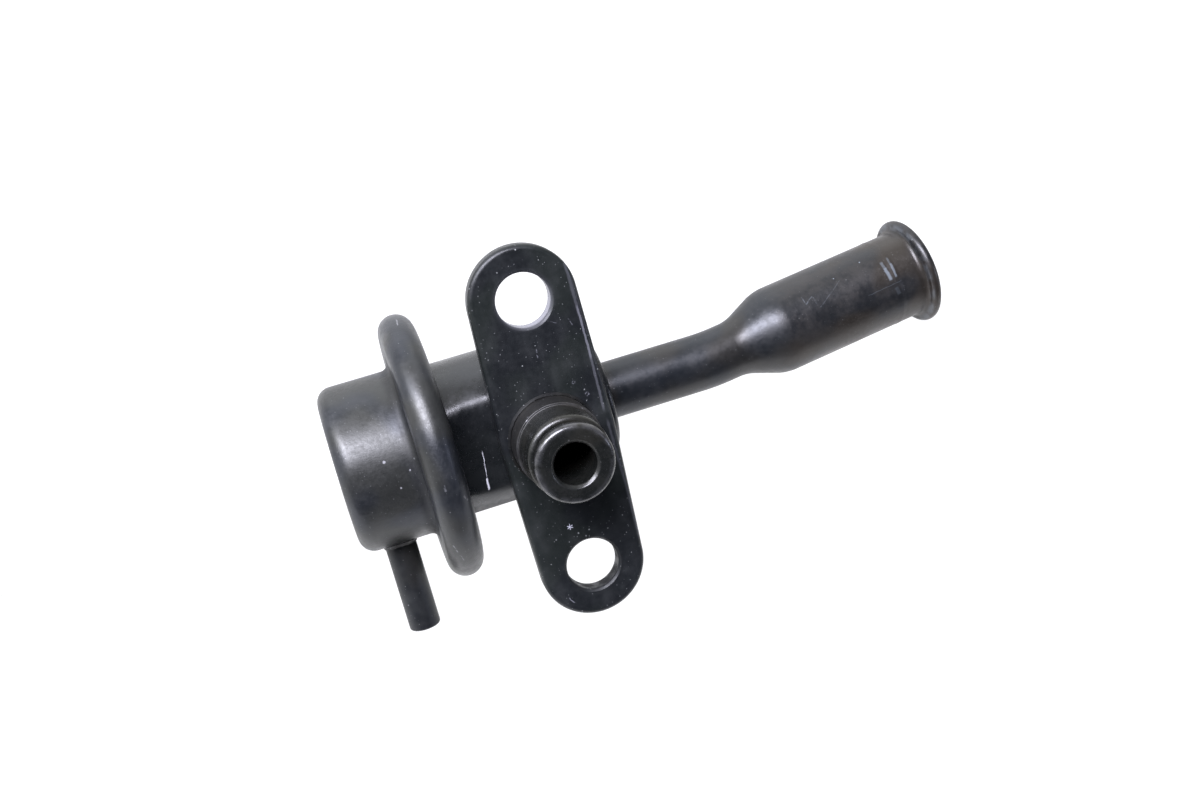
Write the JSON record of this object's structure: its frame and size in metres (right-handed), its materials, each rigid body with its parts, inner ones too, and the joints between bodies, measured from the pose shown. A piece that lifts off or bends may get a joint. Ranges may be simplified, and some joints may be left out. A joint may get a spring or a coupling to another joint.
{
  "type": "fuel pressure regulator",
  "caption": "Vacuum-referenced fuel pressure regulator with a drawn spring chamber, a two-hole flange, a plug-in inlet spigot and a swaged return pipe.",
  "frame": {"origin": "on the inlet spigot's axis, in the flange plate's mounting face", "axes": "-Y along the spigot away from the plate, +X along the body towards the return pipe, Z along the plate, with the vacuum nipple towards -Z"},
  "size_m": [0.0902, 0.0439, 0.0526],
  "materials": {
    "cover_black": "satin",
    "housing_black": "satin",
    "plate_black": "satin",
    "spigot_black": "satin",
    "braze_black": "matte",
    "pipe_black": "satin",
    "nipple_black": "satin",
    "spring_steel": "drawn wire",
    "plated_steel": "zinc plated",
    "polished_steel": "polished",
    "turned_brass": "turned",
    "diaphragm_rubber": "matte"
  },
  "bodies": {
    "root": {"spring_cover": "cover_black", "vacuum_nipple": "nipple_black", "nipple_braze": "braze_black", "fuel_housing": "housing_black", "flange_plate": "plate_black", "inlet_spigot": "spigot_black", "spigot_braze": "braze_black", "return_pipe": "pipe_black", "return_braze": "braze_black", "valve_seat": "turned_brass", "diaphragm": "diaphragm_rubber", "main_spring": "spring_steel"},
    "valve_group": {"spring_plate": "plated_steel", "support_washer": "plated_steel", "stem_washer": "plated_steel", "valve_holder": "turned_brass", "ball_spring": "spring_steel", "valve_retainer": "plated_steel"},
    "ball": {"valve_ball": "polished_steel"},
    "valve": {"valve_plate": "polished_steel"}
  },
  "joints": [
    {"name": "valve_lift", "type": "slide", "parent": "root", "child": "valve_group", "axis": [-1, 0, 0], "range_m": [0, 0.0008], "stiffness_N_per_m": 200, "springref_m": -0.002, "deforming": ["main_spring", "diaphragm"]},
    {"name": "ball_swivel", "type": "hinge", "parent": "valve_group", "child": "ball", "pos_m": [-0.01508, 0.0119, 0.00065], "axis": [0, 1, 0], "range_deg": [-1, 1]},
    {"name": "valve_swivel", "type": "hinge", "parent": "ball", "child": "valve", "pos_m": [-0.01508, 0.0119, 0.00065], "axis": [0, 0, 1], "range_deg": [-1, 1]}
  ]
}
